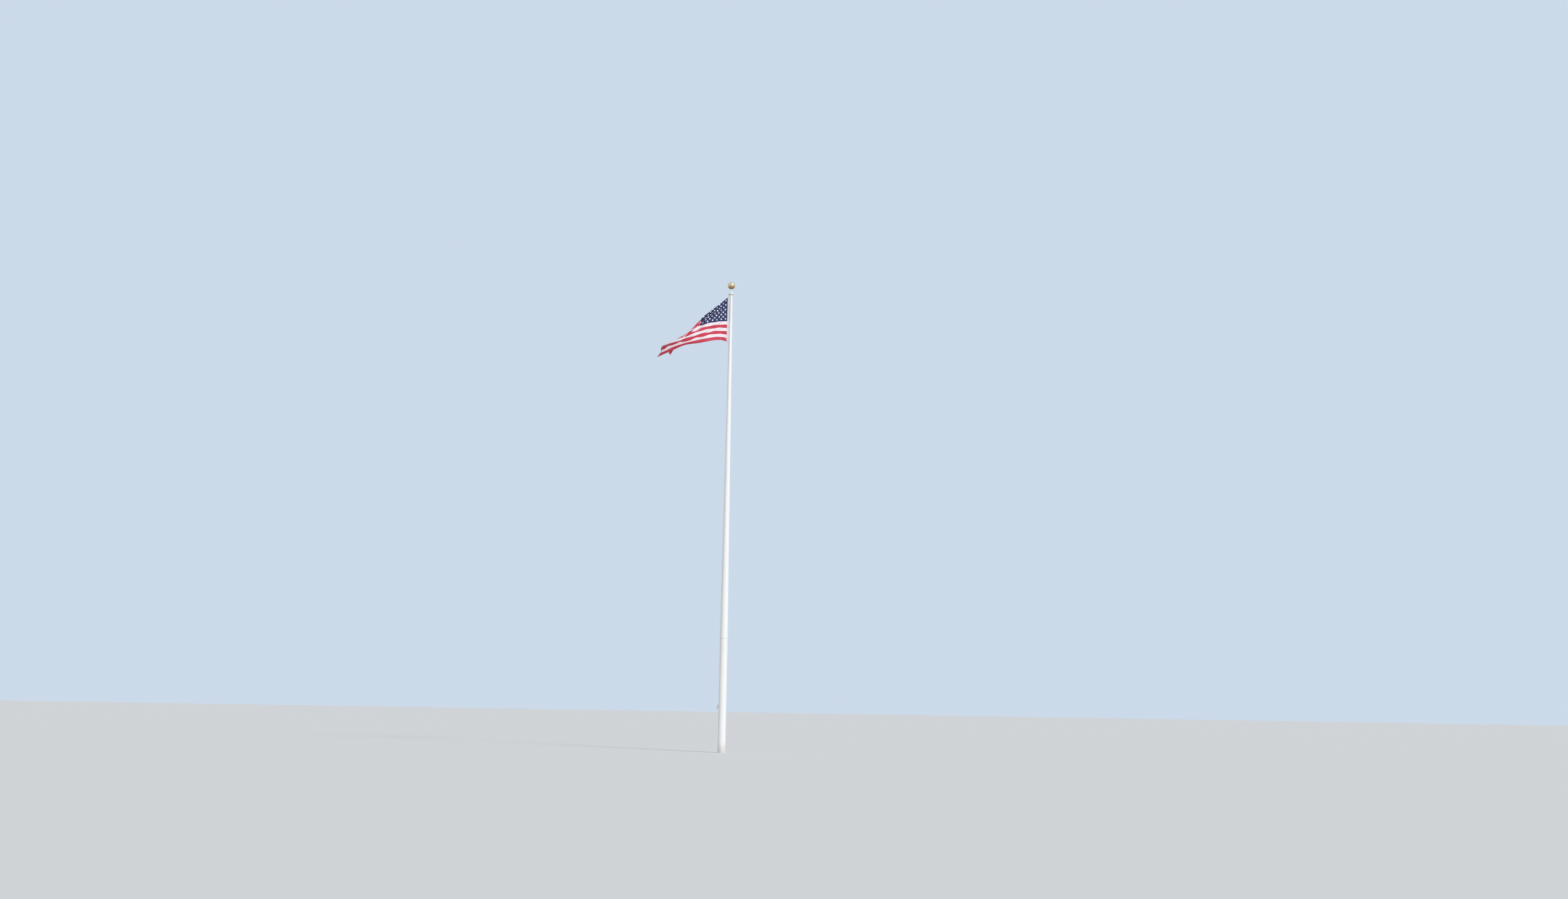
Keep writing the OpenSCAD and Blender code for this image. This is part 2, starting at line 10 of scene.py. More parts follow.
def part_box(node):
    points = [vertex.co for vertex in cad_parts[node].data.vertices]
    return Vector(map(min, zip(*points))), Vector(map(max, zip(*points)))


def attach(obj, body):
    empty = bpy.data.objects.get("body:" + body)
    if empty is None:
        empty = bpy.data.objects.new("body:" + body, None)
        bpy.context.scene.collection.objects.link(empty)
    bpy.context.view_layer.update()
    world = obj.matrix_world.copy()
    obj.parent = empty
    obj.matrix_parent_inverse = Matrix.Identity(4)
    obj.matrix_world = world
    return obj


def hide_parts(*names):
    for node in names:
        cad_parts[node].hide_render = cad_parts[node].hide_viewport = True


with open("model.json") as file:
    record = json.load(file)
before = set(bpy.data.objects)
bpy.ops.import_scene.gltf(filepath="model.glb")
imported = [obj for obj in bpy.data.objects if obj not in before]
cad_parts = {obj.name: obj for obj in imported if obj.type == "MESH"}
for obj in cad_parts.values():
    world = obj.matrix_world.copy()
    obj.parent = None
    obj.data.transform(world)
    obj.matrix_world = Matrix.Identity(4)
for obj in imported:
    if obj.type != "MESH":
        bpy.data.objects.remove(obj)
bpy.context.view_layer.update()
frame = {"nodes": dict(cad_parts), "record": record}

nodes = frame["nodes"]

# Camera: solved from the pole, the horizon and the flag in the photograph, 2539 by 1456 pixels
PHOTO_WIDTH = 2539
FOCAL_PIXELS = 2700
SENSOR_MM = 36
CAMERA_PLACE = Vector((0, -65.8971, 1.6))
CAMERA_YAW = 0.0340038
CAMERA_PITCH = 0.156225
CAMERA_ROLL = 0.0161941
CAMERA_FAR = 4000


def add_camera():
    ahead = Vector((sin(CAMERA_YAW) * cos(CAMERA_PITCH),
                    cos(CAMERA_YAW) * cos(CAMERA_PITCH),
                    sin(CAMERA_PITCH)))
    level = Vector((cos(CAMERA_YAW), -sin(CAMERA_YAW), 0))
    upright = level.cross(ahead)
    side = level * cos(CAMERA_ROLL) + upright * sin(CAMERA_ROLL)
    top = upright * cos(CAMERA_ROLL) - level * sin(CAMERA_ROLL)
    data = bpy.data.cameras.new("camera")
    data.sensor_width = SENSOR_MM
    data.lens = FOCAL_PIXELS / PHOTO_WIDTH * SENSOR_MM
    data.clip_end = CAMERA_FAR
    camera = bpy.data.objects.new("camera", data)
    turn = Matrix((side, top, -ahead)).transposed().to_4x4()
    camera.matrix_world = Matrix.Translation(CAMERA_PLACE) @ turn
    bpy.context.scene.collection.objects.link(camera)
    bpy.context.scene.camera = camera


add_camera()

# Pole, rope's route and the flag's heading: the same sizes as part.scad, in metres
SEAM_Z = 4.42
TIP_Z = 18.29
ROPE_RADIUS = 0.00475
SHEAVE_X = -0.076
SHEAVE_Z = 18.256
SHEAVE_ROPE_RADIUS = 0.024
CLEAT_REACH = 0.199
CLEAT_Z = 1.75
FALL_END_Z = 1.9245
FALL_LEAN = atan((CLEAT_REACH + SHEAVE_X) / (SHEAVE_Z - FALL_END_Z))
FALL_WAY = Vector((-sin(FALL_LEAN), 0, -cos(FALL_LEAN)))
FALL_LENGTH = (SHEAVE_Z - FALL_END_Z) / cos(FALL_LEAN)
HITCH_REACH = 0.058
HITCH_TURNS = 3
EIGHT_HALF_WIDTH = 0.019
EIGHT_BACK = 0.020
HORN_RADIUS = 0.011
HORN_GAP = 0.0015
ROPE_GAP = 0.0002
HEADING_TOP_Z = 18.18
HEADING_TOP_X = SHEAVE_X - (SHEAVE_Z - HEADING_TOP_Z) * tan(FALL_LEAN)
HEADING_TOP = Vector((HEADING_TOP_X, SHEAVE_ROPE_RADIUS, HEADING_TOP_Z))
HEADING_INNER = 0.011
HEADING_OUTER = 0.061
CLOTH_LAP = 0.0015

# Threads, strands and stitches, in metres
ROPE_STRANDS = 8
ROPE_PITCH = 0.019
CANVAS_THREAD = 0.0011
NYLON_THREAD = 0.0009
STITCH_PITCH = 0.0034
STITCH_LENGTH = 0.0024
THREAD_EDGE = 0.0007
THREAD_MIDDLE = 0.0003


# Shader nodes

class Look:
    """A material under construction: each method adds a node and returns its output."""

    def __init__(self, name, colour=(0.8, 0.8, 0.8), roughness=0.5, metallic=0.0, **sockets):
        self.material = bpy.data.materials.new(name)
        self.material.use_nodes = True
        self.nodes = self.material.node_tree.nodes
        self.shader = self.nodes["Principled BSDF"]
        self.set("Base Color", (*colour, 1))
        self.set("Roughness", roughness)
        self.set("Metallic", metallic)
        for socket, value in sockets.items():
            self.set(socket.replace("_", " "), value)
        self.heights = []

    def set(self, socket, value):
        """A number or colour, or another node's output, on one of the shader's sockets."""
        if isinstance(value, bpy.types.NodeSocket):
            self.join(value, self.shader.inputs[socket])
        else:
            self.shader.inputs[socket].default_value = value

    def join(self, output, target):
        self.material.node_tree.links.new(output, target)

    def add(self, kind, inputs=(), **settings):
        node = self.nodes.new("ShaderNode" + kind)
        for key, value in settings.items():
            setattr(node, key, value)
        for key, value in dict(inputs).items():
            if isinstance(value, bpy.types.NodeSocket):
                self.join(value, node.inputs[key])
            else:
                node.inputs[key].default_value = value
        return node

    def place(self):
        """Position in the shared frame, in metres."""
        return self.add("TexCoord").outputs["Object"]

    def uv(self):
        return self.add("UVMap", uv_map="flat").outputs[0]

    def split(self, vector):
        return self.add("SeparateXYZ", {0: vector}).outputs

    def math(self, operation, a, b=0.0, c=0.0):
        return self.add("Math", {0: a, 1: b, 2: c}, operation=operation).outputs[0]

    def plus(self, a, b):
        return self.math("ADD", a, b)

    def minus(self, a, b):
        return self.math("SUBTRACT", a, b)

    def times(self, a, b):
        return self.math("MULTIPLY", a, b)

    def less(self, a, b):
        return self.math("LESS_THAN", a, b)

    def both(self, a, b):
        """1 where both masks are 1."""
        return self.math("MULTIPLY", a, b)

    def either(self, a, b):
        """1 where at least one mask is 1."""
        return self.math("MAXIMUM", a, b)

    def gap(self, a, b):
        return self.math("ABSOLUTE", self.minus(a, b))

    def stitches(self, away, along):
        """A row of stitches, from the distance to its line and the distance along it."""
        near_line = self.spread(away, THREAD_EDGE, THREAD_MIDDLE)
        in_stitch = self.less(self.math("MODULO", along, STITCH_PITCH), STITCH_LENGTH)
        return self.both(near_line, in_stitch)

    def weave(self, a, b, thread):
        """Plain weave of threads at this pitch, along two directions."""
        turn = 2 * pi / thread
        return self.both(self.math("SINE", self.times(a, turn)), self.math("SINE", self.times(b, turn)))

    def spread(self, value, low, high, to_low=0.0, to_high=1.0, smooth=True):
        """Maps low..high to to_low..to_high, held at both ends."""
        limits = {"From Min": low, "From Max": high, "To Min": to_low, "To Max": to_high}
        node = self.add("MapRange", {"Value": value, **limits})
        node.interpolation_type = "SMOOTHSTEP" if smooth else "LINEAR"
        return node.outputs[0]

    def noise(self, vector, scale, detail=3.0, rough=0.55, stretch=(1, 1, 1), distort=0.0):
        if stretch != (1, 1, 1):
            vector = self.add("Mapping", {0: vector, "Scale": stretch}).outputs[0]
        grain = {"Scale": scale, "Detail": detail, "Roughness": rough, "Distortion": distort}
        return self.add("TexNoise", {"Vector": vector, **grain}).outputs[0]

    def cells(self, vector, scale):
        """A colour of its own for each cell."""
        return self.add("TexVoronoi", {"Vector": vector, "Scale": scale}).outputs["Color"]

    def mix(self, factor, a, b):
        """Colour a where factor is 0, b where it is 1."""
        node = self.nodes.new("ShaderNodeMix")
        node.data_type = "RGBA"
        for index, value in ((0, factor), (6, a), (7, b)):
            if isinstance(value, bpy.types.NodeSocket):
                self.join(value, node.inputs[index])
            else:
                node.inputs[index].default_value = value if index == 0 else (*value, 1)
        return node.outputs[2]

    def stain(self, colour, mask, amount, tint):
        """The colour, moved by the amount towards the tint where the mask is 1."""
        return self.mix(self.times(mask, amount), colour, tint)

    def relief(self, height, distance):
        """One layer of bump, distance in metres for a height of 1."""
        self.heights.append(self.times(height, distance))

    def done(self):
        if self.heights:
            total = self.heights[0]
            for more in self.heights[1:]:
                total = self.plus(total, more)
            bump = self.add("Bump", {"Height": total, "Distance": 1.0, "Strength": 1.0})
            self.set("Normal", bump.outputs[0])
        return self.material


def paint_material():
    """Gloss white enamel that has stood outside: runs, chalking, and splashes at the foot."""
    look = Look("white_paint", roughness=0.3, Coat_Weight=0.15, Coat_Roughness=0.12)
    place = look.place()
    z = look.split(place)[2]
    runs = look.spread(look.noise(place, 9, 4, 0.6, (2.2, 2.2, 0.11)), 0.5, 0.78)
    chalk = look.spread(look.noise(place, 3.2, 3, 0.6, (1, 1, 0.35)), 0.35, 0.75)
    specks = look.spread(look.noise(place, 160, 2, 0.5), 0.66, 0.76)
    ragged = look.plus(z, look.times(look.noise(place, 14, 4, 0.65), 0.5))
    foot = look.spread(ragged, 0.75, 0.2)
    under_truck = look.both(look.spread(z, TIP_Z - 1.39, TIP_Z - 0.04), runs)
    up_to_seam = look.spread(z, SEAM_Z + 0.005, SEAM_Z, smooth=False)
    below_seam = look.both(look.spread(z, SEAM_Z - 0.72, SEAM_Z), up_to_seam)
    under_seam = look.both(below_seam, runs)
    seam = look.spread(look.gap(z, SEAM_Z), 0.006, 0.0015)
    colour = look.stain((0.905, 0.91, 0.91), chalk, 0.6, (0.87, 0.875, 0.87))
    colour = look.stain(colour, runs, 0.28, (0.74, 0.73, 0.68))
    colour = look.stain(colour, under_truck, 0.35, (0.58, 0.56, 0.5))
    colour = look.stain(colour, under_seam, 0.4, (0.6, 0.57, 0.5))
    colour = look.stain(colour, specks, 0.35, (0.55, 0.52, 0.45))
    colour = look.stain(colour, foot, 0.5, (0.45, 0.43, 0.32))
    colour = look.stain(colour, seam, 0.7, (0.3, 0.29, 0.27))
    look.set("Base Color", colour)
    look.set("Roughness", look.spread(look.plus(runs, look.plus(chalk, foot)), 0, 2, 0.26, 0.6))
    look.relief(look.noise(place, 420, 2, 0.5), 0.00006)
    look.relief(look.noise(place, 45, 2, 0.5), 0.00012)
    look.relief(specks, 0.0001)
    return look.done()


def metal_material(name, colour, tarnish, roughness, grain=(1, 1, 1), pits=0.3):
    """Bare metal with a grain, dull patches and small pits."""
    look = Look(name, colour, roughness, 1.0)
    place = look.place()
    patches = look.spread(look.noise(place, 38, 4, 0.6), 0.42, 0.7)
    brushed = look.noise(place, 900, 2, 0.6, grain)
    pitting = look.spread(look.noise(place, 700, 2, 0.5), 0.62, 0.75)
    tone = look.stain(colour, patches, 0.75, tarnish)
    tone = look.stain(tone, pitting, pits, tuple(0.35 * c for c in tarnish))
    look.set("Base Color", look.mix(look.spread(brushed, 0.3, 0.7, 0.0, 0.12), tone, (0.2, 0.2, 0.2)))
    uneven = look.plus(look.times(patches, 0.16), look.times(brushed, 0.12))
    look.set("Roughness", look.plus(uneven, roughness - 0.08))
    look.relief(brushed, 0.00002)
    look.relief(pitting, -0.00008)
    return look.done()


def gilt_material():
    """The ball's gold finish: a painted reflection of a pale sky on its crown, a painted reflection of dark
    brown ground below, mottled by the weather.
    """
    look = Look("gilt", (0.93, 0.72, 0.42), 0.3, 1.0)
    place = look.place()
    z = look.split(place)[2]
    low, high = (corner[2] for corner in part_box("ball"))
    leaf = look.split(look.cells(place, 34))[0]
    mottle = look.spread(look.noise(place, 16, 5, 0.65), 0.4, 0.72)
    painted_ground_reflection = look.spread(z, low + 0.17, low + 0.01)
    painted_sky_reflection = look.spread(z, high - 0.14, high)
    weld = look.spread(look.gap(z, (low + high) / 2), 0.0016, 0.0004)
    spots = look.spread(look.noise(place, 130, 3, 0.6), 0.63, 0.72)
    colour = look.stain((0.97, 0.73, 0.4), leaf, 0.3, (0.9, 0.62, 0.3))
    # Painted reflection of the sky: the ball's top turns grey-white
    colour = look.stain(colour, painted_sky_reflection, 0.9, (0.88, 0.88, 0.86))
    colour = look.stain(colour, mottle, 0.35, (0.8, 0.55, 0.27))
    # Painted reflection of the ground: the ball turns dark brown towards its bottom
    colour = look.stain(colour, painted_ground_reflection, 0.9, (0.27, 0.16, 0.1))
    colour = look.stain(colour, spots, 0.4, (0.4, 0.25, 0.13))
    colour = look.stain(colour, weld, 0.25, (0.5, 0.34, 0.18))
    look.set("Base Color", colour)
    uneven = look.plus(look.times(mottle, 0.14), look.times(painted_ground_reflection, 0.12))
    look.set("Roughness", look.plus(uneven, 0.26))
    look.relief(leaf, 0.00003)
    look.relief(spots, -0.00006)
    look.relief(weld, 0.00025)
    return look.done()


def rope_material():
    """Braided polyester: two sets of strands that cross with painted shade in the grooves between them, a
    tracer yarn and some grime. UV in metres.
    """
    look = Look("rope", roughness=0.8, Sheen_Weight=0.3, Sheen_Roughness=0.6)
    across, along = look.split(look.uv())[0:2]
    turn = look.times(across, pi * ROPE_STRANDS)
    climb = look.times(along, pi * ROPE_STRANDS / ROPE_PITCH)
    one = look.math("SINE", look.plus(climb, turn))
    other = look.math("SINE", look.minus(climb, turn))
    weave = look.times(one, other)
    strand = look.math("ABSOLUTE", weave)
    fibres = look.noise(look.place(), 1800, 2, 0.6)
    soil = look.spread(look.noise(look.place(), 5, 4, 0.6), 0.4, 0.75)
    tracer = look.times(look.spread(one, 0.82, 0.95), look.spread(weave, 0, 0.2))
    # Painted shade: the grooves between strands, where the bump is lowest, are darkened
    colour = look.mix(look.spread(strand, 0.0, 0.35), (0.42, 0.4, 0.36), (0.88, 0.86, 0.8))
    colour = look.stain(colour, soil, 0.3, (0.55, 0.51, 0.43))
    colour = look.stain(colour, tracer, 0.35, (0.25, 0.3, 0.45))
    look.set("Base Color", colour)
    look.set("Roughness", look.spread(soil, 0, 1, 0.72, 0.9))
    look.relief(strand, 0.0007)
    look.relief(fibres, 0.00012)
    return look.done()


def twine_material():
    """Waxed whipping twine, with painted shade in the grooves of its twist."""
    look = Look("whipping", roughness=0.7, Sheen_Weight=0.2)
    place = look.place()
    twist = look.add("TexWave", {"Vector": place, "Scale": 260, "Distortion": 1.2, "Detail": 2.0})
    twist.bands_direction = "DIAGONAL"
    fibres = look.noise(place, 1500, 2, 0.6)
    # Painted shade: the twist's grooves, where the bump is lowest, are darker
    colour = look.mix(look.spread(twist.outputs["Fac"], 0.1, 0.8), (0.36, 0.29, 0.2), (0.68, 0.61, 0.48))
    look.set("Base Color", look.stain(colour, fibres, 0.4, (0.5, 0.42, 0.3)))
    look.set("Roughness", look.spread(fibres, 0.3, 0.7, 0.6, 0.8))
    look.relief(twist.outputs["Fac"], 0.0004)
    look.relief(fibres, 0.0001)
    return look.done()


def canvas_material():
    """Heavy bleached duck: plain weave, two rows of stitches down each side, patches of dirt."""
    look = Look("canvas", roughness=0.9, Sheen_Weight=0.1)
    place = look.place()
    x, _, z = look.split(place)
    weave = look.weave(x, z, CANVAS_THREAD)
    slub = look.noise(place, 220, 3, 0.6, (0.3, 1, 2.5))
    soil = look.spread(look.noise(place, 22, 4, 0.65), 0.5, 0.8)
    leaned = look.times(look.minus(z, HEADING_TOP.z), tan(FALL_LEAN))
    across = look.minus(look.plus(leaned, HEADING_TOP.x), x)
    rows = 0.0
    for inset in (0.0035, 0.0085):
        for edge in (HEADING_INNER + inset, HEADING_OUTER - inset):
            rows = look.either(rows, look.stitches(look.gap(across, edge), z))
    # Painted shade: the weave is darker where its threads lie low
    colour = look.mix(look.spread(weave, -0.6, 0.6), (0.82, 0.81, 0.79), (0.92, 0.92, 0.91))
    colour = look.stain(colour, slub, 0.15, (0.78, 0.74, 0.66))
    colour = look.stain(colour, soil, 0.25, (0.62, 0.57, 0.48))
    look.set("Base Color", look.stain(colour, rows, 0.7, (0.7, 0.69, 0.66)))
    look.set("Roughness", look.spread(slub, 0.3, 0.7, 0.82, 0.95))
    look.relief(weave, 0.0001)
    look.relief(slub, 0.00015)
    look.relief(rows, 0.0004)
    return look.done()


# The flag, laid flat: u from the heading to the fly, v from the top edge down, in metres
FLAG_FLY = 3.475
FLAG_HOIST = 1.829
STRIPES = 13
STRIPE = FLAG_HOIST / STRIPES
CANTON_FLY = 1.390
CANTON_DROP = 7 * STRIPE
STAR_COLUMNS = 11
STAR_ROWS = 9
STAR_ACROSS = CANTON_FLY / (STAR_COLUMNS + 1)
STAR_DOWN = CANTON_DROP / (STAR_ROWS + 1)
STAR_RADIUS = 0.0308 * FLAG_HOIST
STAR_POINT = radians(72)
FELL_EDGE = 0.0075
FELL_ROW = 0.0052
EDGE_HEM = 0.0125
EDGE_ROW = 0.009
FLY_HEM = 0.028
FLY_ROW_PITCH = 0.0065
CLOTH_STEP = 0.0015


def star_distance(look, u, v):
    """Distance from a star's middle measured towards its edge, and a mask of the places that hold a star."""
    column = look.math("DIVIDE", u, STAR_ACROSS)
    row = look.math("DIVIDE", v, STAR_DOWN)
    near_column = look.math("ROUND", column)
    near_row = look.math("ROUND", row)
    across = look.times(look.minus(column, near_column), STAR_ACROSS)
    down = look.times(look.minus(row, near_row), STAR_DOWN)
    # Stars stand where a column's and a row's numbers are both odd or both even
    here = look.less(look.math("MODULO", look.plus(near_column, near_row), 2.0), 0.5)
    for number, last in ((near_column, STAR_COLUMNS), (near_row, STAR_ROWS)):
        here = look.both(here, look.both(look.less(0.5, number), look.less(number, last + 0.5)))
    reach = look.math("SQRT", look.plus(look.times(across, across), look.times(down, down)))
    angle = look.math("ARCTAN2", across, look.times(down, -1.0))
    in_point = look.math("MODULO", look.plus(angle, 2 * pi + STAR_POINT / 2), STAR_POINT)
    folded = look.gap(in_point, STAR_POINT / 2)
    return look.times(reach, look.math("COSINE", look.minus(STAR_POINT, folded))), here


def seam_distances(look, u, v, in_canton):
    """Distances to the stripes' seams, the canton's side seam and its foot seam, large where a seam isn't."""
    in_stripe = look.math("MODULO", look.plus(v, STRIPE / 2), STRIPE)
    stripe_seam = look.plus(look.gap(in_stripe, STRIPE / 2), in_canton)
    canton_side = look.plus(look.gap(u, CANTON_FLY), look.minus(1.0, look.less(v, CANTON_DROP)))
    canton_foot = look.plus(look.gap(v, CANTON_DROP), look.minus(1.0, look.less(u, CANTON_FLY)))
    return stripe_seam, canton_side, canton_foot


def stitch_rows(look, u, v, seams, from_edge, from_fly):
    """Two rows on each felled seam, one on the long hems and four on the fly's hem."""
    stripe_seam, canton_side, canton_foot = seams
    level_row = look.stitches(look.gap(look.math("MINIMUM", stripe_seam, canton_foot), FELL_ROW), u)
    upright_row = look.stitches(look.gap(canton_side, FELL_ROW), v)
    edge_row = look.stitches(look.gap(from_edge, EDGE_ROW), u)
    from_fly_row = look.gap(look.math("MODULO", from_fly, FLY_ROW_PITCH), FLY_ROW_PITCH / 2)
    fly_row = look.both(look.stitches(from_fly_row, v), look.less(from_fly, FLY_HEM - 0.001))
    return look.either(look.either(level_row, upright_row), look.either(edge_row, fly_row))


def flag_material():
    """Sewn nylon: stripes joined by felled seams, a canton with embroidered stars, hems and weave."""
    look = Look("flag_cloth", roughness=0.7, Sheen_Weight=0.06, Sheen_Roughness=0.4, Specular_IOR_Level=0.25)
    flat = look.uv()
    u, v = look.split(flat)[0:2]
    in_canton = look.both(look.less(u, CANTON_FLY), look.less(v, CANTON_DROP))
    outside = look.minus(1.0, in_canton)
    stripe = look.math("FLOOR", look.math("DIVIDE", v, STRIPE))
    red = look.less(look.math("MODULO", stripe, 2.0), 0.5)

    to_edge, here = star_distance(look, u, v)
    star_edge = STAR_RADIUS * cos(STAR_POINT)
    on_star = look.spread(to_edge, star_edge + 0.0006, star_edge - 0.0006)
    star = look.both(look.both(on_star, here), in_canton)
    rounded = look.spread(to_edge, star_edge, star_edge - 0.004)
    star_rise = look.both(look.both(rounded, here), in_canton)

    seams = seam_distances(look, u, v, in_canton)
    seam = look.math("MINIMUM", seams[0], look.math("MINIMUM", seams[1], seams[2]))
    felled = look.spread(seam, FELL_EDGE, FELL_EDGE - CLOTH_STEP)
    from_edge = look.math("MINIMUM", v, look.minus(FLAG_HOIST, v))
    from_fly = look.minus(FLAG_FLY, u)
    stitch = stitch_rows(look, u, v, seams, from_edge, from_fly)
    edge_hem = look.spread(from_edge, EDGE_HEM, EDGE_HEM - CLOTH_STEP)
    hem = look.either(edge_hem, look.spread(from_fly, FLY_HEM, FLY_HEM - CLOTH_STEP))

    # Cloth: weave, fade, creases that run along the pull, and soil towards the fly
    weave = look.weave(u, v, NYLON_THREAD)
    fade = look.noise(flat, 1.6, 4, 0.6)
    slub = look.noise(flat, 60, 3, 0.6, (0.25, 4, 1))
    soil = look.both(look.spread(look.noise(flat, 5, 4, 0.65), 0.45, 0.8), look.spread(u, 1.8, 3.4))
    crease = look.noise(flat, 7.5, 4, 0.55, (0.32, 1.5, 1), 0.35)
    pucker = look.both(look.noise(flat, 110, 2, 0.5, (1, 0.4, 1)), look.spread(seam, 0.022, 0.004))

    stripes = look.mix(red, (0.87, 0.80, 0.85), (0.6, 0.045, 0.085))
    field = look.mix(star, (0.014, 0.026, 0.105), (0.9, 0.9, 0.93))
    colour = look.mix(in_canton, stripes, field)
    colour = look.mix(look.spread(fade, 0.35, 0.75, 0, 0.035), colour, (0.75, 0.6, 0.62))
    colour = look.mix(look.spread(slub, 0.4, 0.8, 0, 0.07), colour, (0.2, 0.14, 0.19))
    colour = look.stain(colour, felled, 0.1, (0.2, 0.1, 0.15))
    colour = look.stain(colour, soil, 0.18, (0.4, 0.36, 0.32))
    thread_tone = look.mix(look.both(red, outside), (0.87, 0.85, 0.84), (0.62, 0.16, 0.18))
    look.set("Base Color", look.stain(colour, stitch, 0.7, thread_tone))
    satin = look.times(star, -0.14)
    look.set("Roughness", look.plus(look.spread(slub, 0.3, 0.8, 0.56, 0.7), satin))
    look.relief(weave, 0.00006)
    look.relief(crease, 0.011)
    look.relief(slub, 0.0002)
    look.relief(pucker, 0.0018)
    look.relief(felled, 0.0007)
    look.relief(hem, 0.0006)
    look.relief(stitch, 0.0003)
    look.relief(star_rise, 0.0008)
    satin_way = look.noise(flat, 900, 1, 0.5, (1, 0.15, 1))
    look.relief(look.both(star, satin_way), 0.0003)
    return look.done()


MATERIALS = {
    "white_paint": paint_material(),
    "sleeve_metal": metal_material("sleeve_metal", (0.72, 0.73, 0.74), (0.5, 0.5, 0.5), 0.4, (1, 1, 0.05)),
    "screw_steel": metal_material("screw_steel", (0.6, 0.61, 0.62), (0.42, 0.4, 0.37), 0.28, (1, 0.08, 1)),
    "bright_metal": metal_material("bright_metal", (0.78, 0.79, 0.8), (0.55, 0.56, 0.57), 0.34),
    "gilt": gilt_material(),
    "rope": rope_material(),
    "whipping": twine_material(),
    "snap_bronze": metal_material("snap_bronze", (0.6, 0.42, 0.22), (0.2, 0.17, 0.11), 0.38, pits=0.5),
    "grommet_brass": metal_material("grommet_brass", (0.82, 0.64, 0.3), (0.45, 0.34, 0.17), 0.26),
    "canvas": canvas_material(),
    "flag_cloth": flag_material(),
}


def put_material(obj, name):
    obj.data.materials.clear()
    obj.data.materials.append(MATERIALS[name])


for part in frame["record"]["subparts"]:
    put_material(nodes[part["node"]], part["material_slot"])


# Meshes of the rope and the cloth

ROPE_SIDES = 20
CURVE_STEPS = 12
SHEAVE_STEPS = 16
FALL_STEPS = 240
BEND_STEPS = 5
EIGHT_STEPS = 20
HITCH_STEP = 0.003

# Rope between a fall's end and the eights, in metres
KNEE_BELOW = 0.035
GUIDE_Y = EIGHT_HALF_WIDTH + 0.008
GUIDE_Z = CLEAT_Z + HITCH_REACH + 0.026
LEAD_X = -CLEAT_REACH + EIGHT_BACK - 0.006
TAIL_X = -CLEAT_REACH + 0.031


def new_piece(name, points, faces, material, uv):
    """A smooth mesh piece. uv is a pair for each corner of each face, in the map "flat"."""
    mesh = bpy.data.meshes.new(name)
    mesh.from_pydata([tuple(p) for p in points], [], faces)
    mesh.polygons.foreach_set("use_smooth", [True] * len(mesh.polygons))
    layer = mesh.uv_layers.new(name="flat")
    layer.data.foreach_set("uv", np.asarray(uv, float).ravel())
    mesh.materials.append(MATERIALS[material])
    mesh.update()
    piece = bpy.data.objects.new(name, mesh)
    bpy.context.scene.collection.objects.link(piece)
    return piece


def smooth_path(points, step):
    """A Catmull-Rom line through the points, resampled at equal steps."""
    given = [2 * points[0] - points[1], *points, 2 * points[-1] - points[-2]]
    line = []
    for a, b, c, d in zip(given, given[1:], given[2:], given[3:]):
        for k in range(CURVE_STEPS):
            t = k / CURVE_STEPS
            square = (2 * a - 5 * b + 4 * c - d) * t * t
            cube = (3 * b - a - 3 * c + d) * t ** 3
            line.append(0.5 * (2 * b + (c - a) * t + square + cube))
    line.append(points[-1])
    places = np.array([tuple(p) for p in line])
    along = np.concatenate([[0], np.cumsum(np.linalg.norm(np.diff(places, axis=0), axis=1))])
    even = np.linspace(0, along[-1], max(2, ceil(along[-1] / step) + 1))
    return np.stack([np.interp(even, along, places[:, k]) for k in range(3)], axis=1)


def rope_piece(name, path):
    """A tube along the path with both ends closed, and UV round it and along it."""
    ways = np.gradient(path, axis=0)
    ways /= np.linalg.norm(ways, axis=1)[:, None]
    along = np.concatenate([[0], np.cumsum(np.linalg.norm(np.diff(path, axis=0), axis=1))])
    side = np.cross(ways[0], (1, 0.3, 0.1))
    points = []
    for middle, way in zip(path, ways):
        side = side - way * side.dot(way)
        side /= np.linalg.norm(side)
        other = np.cross(way, side)
        for k in range(ROPE_SIDES):
            turn = 2 * pi * k / ROPE_SIDES
            points.append(middle + ROPE_RADIUS * (side * cos(turn) + other * sin(turn)))
    faces, uv = [], []
    for i in range(len(path) - 1):
        for k in range(ROPE_SIDES):
            a, b = i * ROPE_SIDES + k, i * ROPE_SIDES + (k + 1) % ROPE_SIDES
            faces.append((a, b, b + ROPE_SIDES, a + ROPE_SIDES))
            left, right = k / ROPE_SIDES, (k + 1) / ROPE_SIDES
            uv += [(left, along[i]), (right, along[i]), (right, along[i + 1]), (left, along[i + 1])]
    for ring, at in ((range(ROPE_SIDES - 1, -1, -1), 0), (range(ROPE_SIDES), len(path) - 1)):
        faces.append(tuple(at * ROPE_SIDES + k for k in ring))
        uv += [(k / ROPE_SIDES, along[at]) for k in ring]
    return new_piece(name, points, faces, "rope", uv)


def over_sheave(turn):
    return Vector((SHEAVE_X, SHEAVE_ROPE_RADIUS * sin(turn), SHEAVE_Z + SHEAVE_ROPE_RADIUS * cos(turn)))


def fall_point(side, drop):
    return Vector((SHEAVE_X, side * SHEAVE_ROPE_RADIUS, SHEAVE_Z)) + FALL_WAY * drop


def eight_point(turn):
    """Figures of eight round the horns: behind a horn at each end, across the front of the stem between."""
    height = (HITCH_REACH - turn * (2 * ROPE_RADIUS + ROPE_GAP)) * cos(2 * pi * turn)
    front = sin(2 * pi * turn) ** 2
    out = HORN_RADIUS + ROPE_RADIUS + HORN_GAP + 4 * ROPE_RADIUS * turn
    x = -CLEAT_REACH + (1 - front) * EIGHT_BACK - front * out
    return Vector((x, -EIGHT_HALF_WIDTH * sin(4 * pi * turn), CLEAT_Z + height))


